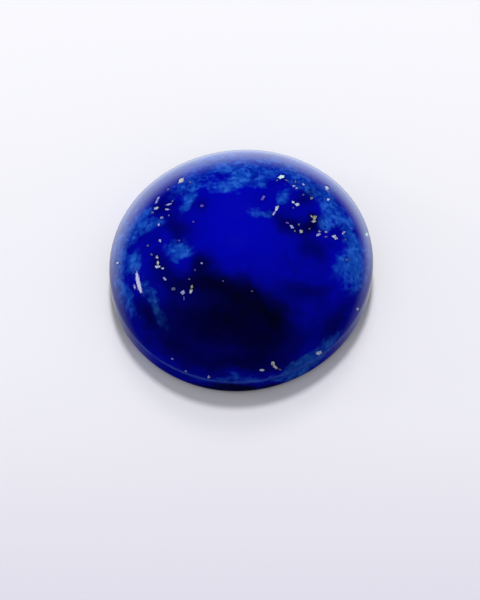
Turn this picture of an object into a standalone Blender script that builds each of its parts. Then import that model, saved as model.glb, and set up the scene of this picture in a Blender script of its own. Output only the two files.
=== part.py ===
"""Lapis lazuli cabochon: one polished stone with a domed top and a flat back.

Metres, +Z up. The stone rests on its flat back, and the origin is the centre
of its plan at that level. A half profile is turned into a round stone, and its
plan is then pulled to the slightly oval outline that cutting by hand leaves.
"""

import math

import bmesh
import bpy
from mathutils import Vector

# Driving dimensions, in metres
PLAN_RADIUS = 0.0080  # mean half width seen from above
BAND_HEIGHT = 0.00136  # from the flat back to where the dome starts
DOME_RISE = 0.00444  # from there to the top of the dome
BEVEL_WIDTH = 0.00022  # how far the edge of the back is rounded inwards
BEVEL_HEIGHT = 0.00040  # how far up the band that rounding reaches

# The dome's profile is a superellipse: 2 is a plain ellipse, more is squarer
DOME_FULLNESS = 2.12

# Plan outline: shares of the radius, and the bearing of each lobe in degrees
OVAL_SHARE = 0.020
OVAL_BEARING = 35.0
THREE_LOBE_SHARE = 0.006
THREE_LOBE_BEARING = 27.0

# Faces round the stone and along its profile
PLAN_STEPS = 96
DOME_STEPS = 22
BEVEL_STEPS = 4
TOP_STEP_DEGREES = 3.0  # the last ring stops this far short of the top

WELD_DISTANCE = 0.000001
SHARP_ANGLE_DEGREES = 50.0

LAPIS_BLUE = (0.006, 0.022, 0.26, 1.0)
POLISH_ROUGHNESS = 0.08


def clear_scene():
    """Remove every object, so that the script can run again in one session."""
    for ob in list(bpy.data.objects):
        bpy.data.objects.remove(ob, do_unlink=True)


def outline_scale(bearing):
    """Share of the mean radius that the plan reaches at a bearing in radians."""
    oval = OVAL_SHARE * math.cos(2.0 * (bearing - math.radians(OVAL_BEARING)))
    lobes = THREE_LOBE_SHARE * math.cos(
        3.0 * (bearing - math.radians(THREE_LOBE_BEARING))
    )
    return 1.0 + oval + lobes


def bevel_points():
    """Rounded edge of the back: a quarter ellipse from the back to the band."""
    points = []
    for step in range(BEVEL_STEPS + 1):
        turn = math.radians(90.0 * step / BEVEL_STEPS)
        inset = BEVEL_WIDTH * (1.0 - math.sin(turn))
        height = BEVEL_HEIGHT * (1.0 - math.cos(turn))
        points.append(Vector((PLAN_RADIUS - inset, 0.0, height)))
    return points


def dome_points():
    """Dome, from the top of the band to the ring just below the crown."""
    points = []
    last_turn = 90.0 - TOP_STEP_DEGREES
    power = 2.0 / DOME_FULLNESS
    for step in range(DOME_STEPS + 1):
        turn = math.radians(last_turn * step / DOME_STEPS)
        reach = PLAN_RADIUS * math.cos(turn) ** power
        height = BAND_HEIGHT + DOME_RISE * math.sin(turn) ** power
        points.append(Vector((reach, 0.0, height)))
    return points


def turn_profile(bm):
    """Turn the half profile about +Z and close it with the crown and the back."""
    rings = [bm.verts.new(p) for p in bevel_points() + dome_points()]
    edges = [bm.edges.new(pair) for pair in zip(rings, rings[1:])]
    bmesh.ops.spin(
        bm,
        geom=rings + edges,
        cent=(0.0, 0.0, 0.0),
        axis=(0.0, 0.0, 1.0),
        angle=math.radians(360.0),
        steps=PLAN_STEPS,
        use_duplicate=False,
    )
    bmesh.ops.remove_doubles(bm, verts=bm.verts, dist=WELD_DISTANCE)

    top = max(v.co.z for v in bm.verts)
    crown_edges = [
        e
        for e in bm.edges
        if e.is_boundary and all(top - v.co.z < WELD_DISTANCE for v in e.verts)
    ]
    crown = bm.verts.new((0.0, 0.0, BAND_HEIGHT + DOME_RISE))
    for edge in crown_edges:
        bm.faces.new((*edge.verts, crown))

    back_edges = [e for e in bm.edges if e.is_boundary]
    bmesh.ops.contextual_create(bm, geom=back_edges)


def pull_outline(bm):
    """Pull the round stone to its plan outline and centre that on the origin."""
    for vert in bm.verts:
        scale = outline_scale(math.atan2(vert.co.y, vert.co.x))
        vert.co.x *= scale
        vert.co.y *= scale
    for axis in (0, 1):
        values = [v.co[axis] for v in bm.verts]
        middle = (min(values) + max(values)) / 2.0
        for vert in bm.verts:
            vert.co[axis] -= middle


def lapis_material():
    """Deep ultramarine blue with a glassy polish."""
    material = bpy.data.materials.new("lapis")
    material.use_nodes = True
    shader = material.node_tree.nodes["Principled BSDF"]
    shader.inputs["Base Color"].default_value = LAPIS_BLUE
    shader.inputs["Roughness"].default_value = POLISH_ROUGHNESS
    shader.inputs["Metallic"].default_value = 0.0
    material.diffuse_color = LAPIS_BLUE
    return material


def build_stone():
    """The whole stone, as one closed solid."""
    bm = bmesh.new()
    turn_profile(bm)
    pull_outline(bm)
    bmesh.ops.recalc_face_normals(bm, faces=bm.faces)
    mesh = bpy.data.meshes.new("lapis_cabochon")
    bm.to_mesh(mesh)
    bm.free()
    mesh.shade_smooth()
    mesh.set_sharp_from_angle(angle=math.radians(SHARP_ANGLE_DEGREES))
    mesh.materials.append(lapis_material())
    stone = bpy.data.objects.new("lapis_cabochon", mesh)
    bpy.context.scene.collection.objects.link(stone)
    return stone


def main():
    """Build the part in an empty scene."""
    clear_scene()
    build_stone()


main()
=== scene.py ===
"""Lapis lazuli cabochon: the looks of the stone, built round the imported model.

Lengths are millimetres unless a name says otherwise, and meshes are scaled to
metres as they are written. Pixel coordinates are those of the 480 by 600
picture, x to the right and y down, and bearings are taken anticlockwise.
"""

import logging
import math
import random
from dataclasses import dataclass, field
from enum import Enum

import bpy
import numpy as np
from mathutils import Matrix, Vector, noise
from mathutils.geometry import delaunay_2d_cdt


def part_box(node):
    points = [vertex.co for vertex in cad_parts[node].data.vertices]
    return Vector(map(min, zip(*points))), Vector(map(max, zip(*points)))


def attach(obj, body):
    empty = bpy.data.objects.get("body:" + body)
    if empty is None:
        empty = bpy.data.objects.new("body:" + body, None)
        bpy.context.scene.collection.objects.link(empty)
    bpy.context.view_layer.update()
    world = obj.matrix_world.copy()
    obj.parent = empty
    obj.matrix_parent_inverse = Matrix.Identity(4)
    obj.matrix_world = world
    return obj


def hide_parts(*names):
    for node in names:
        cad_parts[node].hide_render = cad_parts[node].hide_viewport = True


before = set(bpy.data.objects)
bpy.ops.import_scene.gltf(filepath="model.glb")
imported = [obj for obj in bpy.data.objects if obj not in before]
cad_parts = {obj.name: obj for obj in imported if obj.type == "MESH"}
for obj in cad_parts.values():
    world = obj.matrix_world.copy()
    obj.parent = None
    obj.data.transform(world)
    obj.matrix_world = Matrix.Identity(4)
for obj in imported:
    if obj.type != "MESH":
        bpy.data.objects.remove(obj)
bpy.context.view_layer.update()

LOG = logging.getLogger("lapis_cabochon")

BODY = "root"
NODE = "lapis_cabochon"

MM = 0.001
Colour = tuple[float, float, float]


@dataclass
class StoneForm:
    """Shape of the stone: a half profile turned inside a slightly oval plan.

    A place on the skin is given by its spread: the flat disc that the dome and
    the band would make if each profile line lay straight out from the crown.

    Attributes:
        low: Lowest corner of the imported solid, in metres.
        high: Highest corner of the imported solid, in metres.
        plan_radius: Mean half width, seen from above.
        band_height: From the flat back to where the dome starts.
        dome_rise: From there to the crown.
        dome_fullness: Power of the dome's superellipse; 2 is an ellipse.
        bevel_width: How far the edge of the back is rounded inwards.
        bevel_height: How far up the band that rounding reaches.
        oval_share: Share of the radius that the oval adds and takes.
        oval_bearing: Bearing of the oval's long axis, in degrees.
        lobe_share: Share of the radius in the three soft lobes.
        lobe_bearing: Bearing of the first lobe, in degrees.
        clearance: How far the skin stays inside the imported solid's box.
        profile_samples: Points along the dome's profile.
        bevel_samples: Points along the rounding of the back's edge.
        radii: Radius at each point of the profile, from the crown down.
        heights: Height at each of them.
        lengths: Length of the profile up to each of them.
        shift: From the plan's origin to the middle of its box.
        fit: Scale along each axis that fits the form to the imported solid.
    """

    low: Vector
    high: Vector
    plan_radius: float = 8.0
    band_height: float = 1.36
    dome_rise: float = 4.44
    dome_fullness: float = 2.12
    bevel_width: float = 0.22
    bevel_height: float = 0.40
    oval_share: float = 0.020
    oval_bearing: float = 35.0
    lobe_share: float = 0.006
    lobe_bearing: float = 27.0
    clearance: float = 0.012
    profile_samples: int = 600
    bevel_samples: int = 60
    radii: np.ndarray = field(init=False)
    heights: np.ndarray = field(init=False)
    lengths: np.ndarray = field(init=False)
    shift: np.ndarray = field(init=False)
    fit: np.ndarray = field(init=False)

    def __post_init__(self) -> None:
        """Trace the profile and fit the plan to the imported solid's box."""
        self.radii, self.heights = self.trace_profile()
        steps = np.hypot(np.diff(self.radii), np.diff(self.heights))
        self.lengths = np.concatenate(([0.0], np.cumsum(steps)))

        bearings = np.linspace(0.0, math.tau, self.profile_samples)
        rim = self.plan_radius * self.outline_scale(bearings)
        plan = np.column_stack((rim * np.cos(bearings), rim * np.sin(bearings)))
        self.shift = (plan.min(axis=0) + plan.max(axis=0)) / 2.0
        room = np.array(self.high - self.low) / MM - self.clearance
        own = np.append(np.ptp(plan, axis=0), self.heights[0])
        self.fit = room / own

    @property
    def reach(self) -> float:
        """Length of the profile from the crown to the edge of the back."""
        return float(self.lengths[-1])

    @property
    def girdle(self) -> float:
        """Length of the profile from the crown to the band."""
        return float(self.lengths[self.profile_samples - 1])

    @property
    def height(self) -> float:
        """Height of the crown over the back."""
        return float(self.heights[0] * self.fit[2])

    def trace_profile(self) -> tuple[np.ndarray, np.ndarray]:
        """Trace the half profile from the crown down to the back.

        Returns:
            The radii and the heights along it.
        """
        power = 2.0 / self.dome_fullness
        dome_turn = np.linspace(math.pi / 2.0, 0.0, self.profile_samples)
        bevel_turn = np.linspace(math.pi / 2.0, 0.0, self.bevel_samples)
        dome_radii = self.plan_radius * np.abs(np.cos(dome_turn)) ** power
        dome_radii[0] = 0.0
        dome_heights = self.band_height + self.dome_rise * np.sin(dome_turn) ** power
        inset = self.bevel_width * (1.0 - np.sin(bevel_turn))
        bevel_heights = self.bevel_height * (1.0 - np.cos(bevel_turn))
        radii = np.concatenate((dome_radii, self.plan_radius - inset))
        heights = np.concatenate((dome_heights, bevel_heights))
        return radii, heights

    def outline_scale(self, bearings: np.ndarray) -> np.ndarray:
        """Share of the mean radius that the plan reaches at each bearing.

        Args:
            bearings: Bearings in radians.

        Returns:
            One share for each bearing.
        """
        oval = np.cos(2.0 * (bearings - math.radians(self.oval_bearing)))
        lobes = np.cos(3.0 * (bearings - math.radians(self.lobe_bearing)))
        return 1.0 + self.oval_share * oval + self.lobe_share * lobes

    def lift(self, spread: np.ndarray) -> np.ndarray:
        """Lift places of the spread on to the stone.

        Args:
            spread: Places on the flat disc, one row each.

        Returns:
            Their positions on the stone, one row each.
        """
        along = np.hypot(spread[:, 0], spread[:, 1])
        bearings = np.arctan2(spread[:, 1], spread[:, 0])
        out = np.interp(along, self.lengths, self.radii) * self.outline_scale(bearings)
        up = np.interp(along, self.lengths, self.heights)
        plan = np.column_stack((out * np.cos(bearings), out * np.sin(bearings)))
        return np.column_stack((plan - self.shift, up)) * self.fit

    def normals(self, spread: np.ndarray, step: float = 0.02) -> np.ndarray:
        """Outward normals of the stone at places of the spread.

        Args:
            spread: Places on the flat disc, one row each.
            step: Distance over which the slopes are taken.

        Returns:
            Unit normals, one row each.
        """
        inner = spread * np.minimum(1.0, (self.reach - 2.0 * step) / self.reach)
        east, north = np.array((step, 0.0)), np.array((0.0, step))
        along_x = self.lift(inner + east) - self.lift(inner - east)
        along_y = self.lift(inner + north) - self.lift(inner - north)
        normal = np.cross(along_x, along_y)
        return normal / np.linalg.norm(normal, axis=1, keepdims=True)

    def holds(self, points: np.ndarray) -> np.ndarray:
        """Tell which points are inside the stone.

        Args:
            points: Positions, one row each.

        Returns:
            True for each point inside.
        """
        plain = points / self.fit
        plan = plain[:, :2] + self.shift
        share = self.outline_scale(np.arctan2(plan[:, 1], plan[:, 0]))
        limit = np.interp(plain[:, 2], self.heights[::-1], self.radii[::-1])
        level = (plain[:, 2] > 0.0) & (plain[:, 2] < self.heights[0])
        return level & (np.hypot(plan[:, 0], plan[:, 1]) / share < limit)

    def spread_of(self, point: np.ndarray) -> np.ndarray:
        """Place on the spread of a position on the stone.

        Args:
            point: A position on the stone.

        Returns:
            Its place on the flat disc.
        """
        plain = point / self.fit
        plan = plain[:2] + self.shift
        bearing = math.atan2(plan[1], plan[0])
        out = math.hypot(plan[0], plan[1]) / self.outline_scale(np.array(bearing))
        along = np.interp(out - plain[2], self.radii - self.heights, self.lengths)
        return along * np.array((math.cos(bearing), math.sin(bearing)))


@dataclass(frozen=True)
class PictureView:
    """Where the picture was taken from, and what each of its pixels looks at.

    Attributes:
        width_px: Width of the picture.
        height_px: Height of the picture.
        elevation: Height of the eye over the table, in degrees.
        distance: From the eye to the aim point.
        aim_height: Height of the aim point over the middle of the back.
        aim_px: Pixel at which the aim point is seen.
        focal_px: Focal length, in pixels.
        film: Long side of the film.
        clip: Nearest and farthest distance that the camera sees.
        cast_steps: Points tried along a pixel's line of sight.
        cast_halvings: Times that the last gap between them is halved.
    """

    width_px: int = 480
    height_px: int = 600
    elevation: float = 59.6
    distance: float = 130.0
    aim_height: float = 2.9
    aim_px: tuple[float, float] = (241.3, 254.2)
    focal_px: float = 2151.0
    film: float = 36.0
    clip: tuple[float, float] = (10.0, 5000.0)
    cast_steps: int = 400
    cast_halvings: int = 30

    @property
    def aim(self) -> Vector:
        """Point that the eye is turned about."""
        return Vector((0.0, 0.0, self.aim_height))

    @property
    def eye(self) -> Vector:
        """Where the eye is."""
        tilt = math.radians(self.elevation)
        back = Vector((0.0, -math.cos(tilt), math.sin(tilt)))
        return self.aim + back * self.distance

    def turn(self) -> Matrix:
        """Turn of the camera, which looks past the aim point.

        Returns:
            A 3 by 3 matrix from camera axes to the frame.
        """
        level = (self.aim - self.eye).to_track_quat("-Z", "Y").to_matrix()
        offset = Vector((
            self.aim_px[0] - self.width_px / 2.0,
            self.height_px / 2.0 - self.aim_px[1],
            0.0,
        ))
        past = self.aim - level @ (offset * self.distance / self.focal_px)
        return (past - self.eye).to_track_quat("-Z", "Y").to_matrix()

    def project(self, points: np.ndarray) -> np.ndarray:
        """Pixels at which positions are seen.

        Args:
            points: Positions, one row each.

        Returns:
            Their pixels, one row each.
        """
        local = (points - np.array(self.eye)) @ np.array(self.turn())
        scale = self.focal_px / -local[:, 2]
        across = self.width_px / 2.0 + local[:, 0] * scale
        down = self.height_px / 2.0 - local[:, 1] * scale
        return np.column_stack((across, down))

    def cast(self, form: StoneForm, x_px: float, y_px: float) -> np.ndarray | None:
        """Find the place of the stone that a pixel shows.

        Args:
            form: The stone's shape.
            x_px: Pixel across.
            y_px: Pixel down.

        Returns:
            Its place on the spread, or None where the pixel misses the stone.
        """
        ray = self.turn() @ Vector((
            x_px - self.width_px / 2.0, self.height_px / 2.0 - y_px, -self.focal_px,
        ))
        ray.normalize()
        eye, ray = np.array(self.eye), np.array(ray)
        span = 2.0 * form.plan_radius
        reaches = np.linspace(self.distance - span, self.distance + span, self.cast_steps)
        inside = form.holds(eye + reaches[:, None] * ray)
        if not inside.any():
            return None
        first = int(inside.argmax())
        near, far = reaches[max(first - 1, 0)], reaches[first]
        for _ in range(self.cast_halvings):
            middle = (near + far) / 2.0
            if form.holds((eye + middle * ray)[None])[0]:
                far = middle
            else:
                near = middle
        return form.spread_of(eye + far * ray)

    def make_camera(self) -> bpy.types.Object:
        """Put the camera where the picture was taken from.

        Returns:
            The camera, set as the scene's own.
        """
        data = bpy.data.cameras.new("picture_camera")
        data.sensor_width = self.film
        data.lens = self.focal_px * self.film / max(self.width_px, self.height_px)
        data.clip_start, data.clip_end = (limit * MM for limit in self.clip)
        camera = bpy.data.objects.new("picture_camera", data)
        camera.matrix_world = Matrix.LocRotScale(self.eye * MM, self.turn(), None)
        bpy.context.scene.collection.objects.link(camera)
        bpy.context.scene.camera = camera
        return camera


class Tone(Enum):
    """Colour that a pyrite fleck shows where the polish has cut it: partly the metal's pale
    brass, mostly painted glint in the pale tones and painted shade in the dark ones.
    """

    WHITE = (0.54, 0.60, 0.86)
    MINT = (0.66, 0.95, 0.88)
    LAVENDER = (0.36, 0.37, 0.86)
    VIOLET = (0.14, 0.09, 0.62)
    CREAM = (0.58, 0.60, 0.62)
    BRASS = (0.36, 0.37, 0.30)
    ASH = (0.13, 0.15, 0.34)


@dataclass(frozen=True)
class Fleck:
    """A fleck of pyrite that the picture shows.

    Attributes:
        x_px: Pixel of its middle, across.
        y_px: Pixel of its middle, down.
        long_px: Its length.
        wide_px: Its width.
        lean: Lean of its length in the picture, in degrees.
        tone: Its colour, a painted glint when pale and painted shade when dark.
    """

    x_px: float
    y_px: float
    long_px: float
    wide_px: float
    lean: float = 0.0
    tone: Tone = Tone.LAVENDER


CROWN_BACK_FLECKS = (
    Fleck(281.2, 176.7, 6.4, 4.0, 14.0, Tone.MINT),
    Fleck(277.1, 180.2, 2.6, 1.6, 30.0, Tone.ASH),
    Fleck(286.6, 180.2, 4.0, 1.6, -20.0, Tone.ASH),
    Fleck(295.4, 181.6, 2.0, 2.8, 0.0, Tone.ASH),
    Fleck(293.7, 185.9, 3.4, 2.2, 20.0, Tone.LAVENDER),
    Fleck(296.9, 188.1, 3.4, 1.8, -15.0, Tone.LAVENDER),
    Fleck(303.5, 184.4, 2.8, 2.2, -30.0, Tone.LAVENDER),
    Fleck(303.5, 194.8, 2.2, 1.6, 10.0, Tone.ASH),
    Fleck(311.5, 198.2, 2.6, 2.6, 0.0, Tone.BRASS),
    Fleck(327.0, 187.8, 5.4, 3.0, -58.0, Tone.WHITE),
    Fleck(328.5, 199.3, 3.4, 2.8, 25.0, Tone.WHITE),
)
LONG_SPLINTER_FLECKS = (
    Fleck(263.0, 197.9, 6.6, 2.9, 55.0, Tone.VIOLET),
    Fleck(276.9, 208.2, 6.6, 3.4, 58.0, Tone.WHITE),
    Fleck(273.9, 213.2, 5.4, 2.2, 54.0, Tone.LAVENDER),
    Fleck(293.1, 202.2, 3.6, 2.4, -35.0, Tone.WHITE),
    Fleck(297.2, 204.4, 4.8, 3.6, -10.0, Tone.WHITE),
    Fleck(293.3, 207.8, 2.4, 1.4, 0.0, Tone.VIOLET),
)
RIGHT_TRAIL_FLECKS = (
    Fleck(314.8, 217.6, 5.4, 4.4, 60.0, Tone.BRASS),
    Fleck(313.8, 221.2, 4.8, 2.8, 10.0, Tone.CREAM),
    Fleck(311.4, 216.2, 3.4, 1.6, -45.0, Tone.CREAM),
    Fleck(287.4, 222.9, 4.2, 2.0, -25.0, Tone.VIOLET),
    Fleck(291.7, 226.6, 5.6, 3.4, -45.0, Tone.LAVENDER),
    Fleck(298.9, 224.6, 2.2, 2.8, 0.0, Tone.ASH),
    Fleck(294.9, 231.1, 2.4, 2.0, 0.0, Tone.ASH),
    Fleck(301.2, 231.2, 4.0, 3.8, 30.0, Tone.CREAM),
    Fleck(309.5, 228.6, 2.2, 1.8, 0.0, Tone.ASH),
    Fleck(318.7, 234.6, 5.6, 2.6, 22.0, Tone.LAVENDER),
    Fleck(319.3, 231.4, 2.8, 2.2, 0.0, Tone.BRASS),
    Fleck(325.9, 231.7, 3.4, 2.0, -10.0, Tone.LAVENDER),
    Fleck(325.9, 236.7, 3.6, 1.9, -5.0, Tone.VIOLET),
    Fleck(334.9, 237.2, 7.2, 3.6, -35.0, Tone.WHITE),
    Fleck(343.7, 232.6, 4.8, 2.2, 38.0, Tone.LAVENDER),
    Fleck(345.7, 239.5, 2.4, 2.0, 0.0, Tone.ASH),
    Fleck(346.8, 259.6, 3.2, 2.8, 0.0, Tone.ASH),
    Fleck(367.2, 234.0, 3.4, 3.6, -60.0, Tone.MINT),
    Fleck(358.0, 309.0, 2.8, 3.2, 60.0, Tone.WHITE),
)
LEFT_SHOULDER_FLECKS = (
    Fleck(181.1, 180.3, 6.8, 4.0, 35.0, Tone.CREAM),
    Fleck(190.0, 182.2, 2.4, 1.6, 0.0, Tone.ASH),
    Fleck(157.3, 199.9, 8.8, 2.1, 58.0, Tone.LAVENDER),
    Fleck(169.0, 204.2, 6.4, 2.0, 14.0, Tone.LAVENDER),
    Fleck(172.5, 201.0, 2.2, 2.0, 50.0, Tone.ASH),
    Fleck(156.1, 208.2, 5.6, 2.4, 25.0, Tone.WHITE),
    Fleck(167.0, 209.3, 4.6, 2.2, -5.0, Tone.LAVENDER),
    Fleck(152.4, 212.5, 3.2, 1.9, 0.0, Tone.ASH),
    Fleck(161.6, 217.6, 3.4, 2.0, 30.0, Tone.LAVENDER),
    Fleck(158.7, 224.5, 2.6, 3.2, 0.0, Tone.LAVENDER),
    Fleck(168.7, 215.3, 1.8, 1.8, 0.0, Tone.ASH),
    Fleck(168.0, 189.0, 2.4, 1.6, 40.0, Tone.ASH),
    Fleck(202.0, 205.9, 4.4, 2.6, 0.0, Tone.VIOLET),
    Fleck(193.4, 221.7, 2.6, 1.6, 0.0, Tone.VIOLET),
)
LEFT_TRAIL_FLECKS = (
    Fleck(159.9, 240.6, 2.8, 3.4, 0.0, Tone.LAVENDER),
    Fleck(147.7, 245.4, 2.6, 2.0, 30.0, Tone.ASH),
    Fleck(151.2, 254.4, 3.2, 2.2, -20.0, Tone.ASH),
    Fleck(157.0, 257.1, 2.8, 3.4, 0.0, Tone.WHITE),
    Fleck(157.8, 262.8, 2.6, 4.0, 0.0, Tone.CREAM),
    Fleck(157.2, 266.6, 5.8, 3.0, 0.0, Tone.WHITE),
    Fleck(162.7, 268.3, 3.4, 2.1, 0.0, Tone.WHITE),
    Fleck(164.6, 278.8, 5.0, 2.6, -45.0, Tone.LAVENDER),
    Fleck(173.2, 288.7, 4.6, 3.8, 0.0, Tone.ASH),
    Fleck(182.8, 292.4, 5.2, 4.4, 50.0, Tone.LAVENDER),
    Fleck(184.0, 298.4, 1.4, 4.6, 0.0, Tone.VIOLET),
    Fleck(191.8, 286.9, 2.6, 4.2, -15.0, Tone.BRASS),
    Fleck(190.8, 291.3, 3.0, 4.8, -30.0, Tone.CREAM),
    Fleck(189.2, 279.1, 2.2, 1.6, 0.0, Tone.ASH),
    Fleck(179.2, 240.4, 2.4, 1.8, 0.0, Tone.VIOLET),
    Fleck(201.6, 263.0, 2.6, 2.1, 0.0, Tone.LAVENDER),
    Fleck(195.0, 269.9, 1.8, 2.0, 0.0, Tone.VIOLET),
    Fleck(117.4, 263.0, 3.4, 2.4, 10.0, Tone.WHITE),
)
FRONT_FLECKS = (
    Fleck(319.0, 353.0, 7.6, 4.4, 12.0, Tone.WHITE),
    Fleck(273.0, 363.4, 4.6, 4.6, 45.0, Tone.CREAM),
    Fleck(275.6, 367.4, 6.0, 2.8, -30.0, Tone.CREAM),
    Fleck(280.0, 369.6, 3.6, 2.0, -20.0, Tone.ASH),
    Fleck(262.0, 370.2, 6.4, 2.6, 2.0, Tone.WHITE),
    Fleck(208.8, 377.0, 2.6, 3.4, 0.0, Tone.WHITE),
    Fleck(172.2, 358.8, 2.4, 1.8, -35.0, Tone.LAVENDER),
    Fleck(186.0, 371.4, 2.6, 1.8, -30.0, Tone.LAVENDER),
    Fleck(252.0, 291.0, 2.2, 1.4, 0.0, Tone.ASH),
    Fleck(223.0, 281.0, 2.0, 1.4, 0.0, Tone.VIOLET),
)
SEEN_FLECKS = (
    CROWN_BACK_FLECKS
    + LONG_SPLINTER_FLECKS
    + RIGHT_TRAIL_FLECKS
    + LEFT_SHOULDER_FLECKS
    + LEFT_TRAIL_FLECKS
    + FRONT_FLECKS
)


@dataclass
class Grain:
    """A pyrite grain cut through by the polish, as an outline on the spread.

    Attributes:
        outline: Corners on the spread, anticlockwise, one row each.
        tone: Its colour, a painted glint when pale and painted shade when dark.
        tilt: Slopes of its polished face against the skin, across and up.
        ridge: How far its second facet is folded down, as a slope.
        collar: Width of the undercut that the polish leaves round it.
        groove: Depth of that undercut.
        least_tilt: Slope under which the second facet fades out.
        middle: Middle of its corners.
        radius: From there to its farthest corner.
    """

    outline: np.ndarray
    tone: Tone
    tilt: np.ndarray
    ridge: float = 0.05
    collar: float = 0.07
    groove: float = 0.006
    least_tilt: float = 0.01
    middle: np.ndarray = field(init=False)
    radius: float = field(init=False)

    def __post_init__(self) -> None:
        """Find the grain's middle and how far its corners reach."""
        self.middle = self.outline.mean(axis=0)
        self.radius = float(np.linalg.norm(self.outline - self.middle, axis=1).max())

    def distance(self, places: np.ndarray) -> np.ndarray:
        """Signed distance from the outline, negative inside the grain.

        Args:
            places: Places on the spread, one row each.

        Returns:
            One distance for each place.
        """
        starts, ends = self.outline, np.roll(self.outline, -1, axis=0)
        sides = ends - starts
        gaps = places[:, None, :] - starts[None, :, :]
        share = (gaps * sides).sum(axis=2) / (sides * sides).sum(axis=1)
        nearest = starts + np.clip(share, 0.0, 1.0)[..., None] * sides
        away = np.linalg.norm(places[:, None, :] - nearest, axis=2).min(axis=1)
        above = starts[:, 1] > places[:, None, 1]
        crosses = above != (ends[:, 1] > places[:, None, 1])
        rise = np.where(sides[:, 1] == 0.0, 1.0, sides[:, 1])
        meet = starts[:, 0] + sides[:, 0] * gaps[..., 1] / rise
        inside = (crosses & (places[:, None, 0] < meet)).sum(axis=1) % 2 == 1
        return np.where(inside, -away, away)

    def near(self, places: np.ndarray, margin: float) -> np.ndarray:
        """Indices of the places within a margin of the grain.

        Args:
            places: Places on the spread, one row each.
            margin: Distance past the corners that still counts.

        Returns:
            Row numbers of those places.
        """
        gaps = places - self.middle
        return np.flatnonzero((gaps * gaps).sum(axis=1) < (self.radius + margin) ** 2)

    def relief(self, places: np.ndarray, away: np.ndarray) -> np.ndarray:
        """Height of the grain's facets and of the undercut round it.

        Args:
            places: Places on the spread, one row each.
            away: Their signed distances from the outline.

        Returns:
            Heights over the plain skin.
        """
        gaps = places - self.middle
        face = gaps @ self.tilt
        aside = np.abs(gaps @ np.array((-self.tilt[1], self.tilt[0])))
        fold = -self.ridge * aside / max(np.hypot(*self.tilt), self.least_tilt)
        share = np.clip(away / self.collar, 0.0, 1.0)
        undercut = -self.groove * np.sin(np.pi * share) ** 2
        return np.where(away < 0.0, face + fold, undercut)


CORNER_COUNTS = (7, 8, 9, 10)
CORNER_STRAY = 0.3
INNER_REACH = (0.60, 0.86)
OUTER_REACH = (0.92, 1.22)


def cut_outline(
    rng: random.Random, length: float, width: float, lean: float, step: float
) -> np.ndarray:
    """Angular outline of a grain about the origin, anticlockwise.

    Args:
        rng: Source of the corners' unevenness.
        length: Length of the grain.
        width: Width of the grain.
        lean: Lean of its length, in degrees.
        step: Longest side left between two points.

    Returns:
        Points along the outline, one row each.
    """
    count = rng.choice(CORNER_COUNTS)
    start = rng.uniform(0.0, math.tau)
    corners = []
    for corner in range(count):
        stray = rng.uniform(-CORNER_STRAY, CORNER_STRAY)
        bearing = start + (corner + stray) * math.tau / count
        reach = rng.uniform(*(INNER_REACH if corner % 2 else OUTER_REACH)) / 2.0
        corners.append((math.cos(bearing) * reach * length,
                        math.sin(bearing) * reach * width))
    tilt = math.radians(lean)
    turn = np.array(((math.cos(tilt), math.sin(tilt)), (-math.sin(tilt), math.cos(tilt))))
    turned = np.array(corners) @ turn
    points = []
    for here, there in zip(turned, np.roll(turned, -1, axis=0)):
        parts = max(1, math.ceil(float(np.linalg.norm(there - here)) / step))
        points += [here + (there - here) * part / parts for part in range(parts)]
    return np.array(points)


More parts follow.
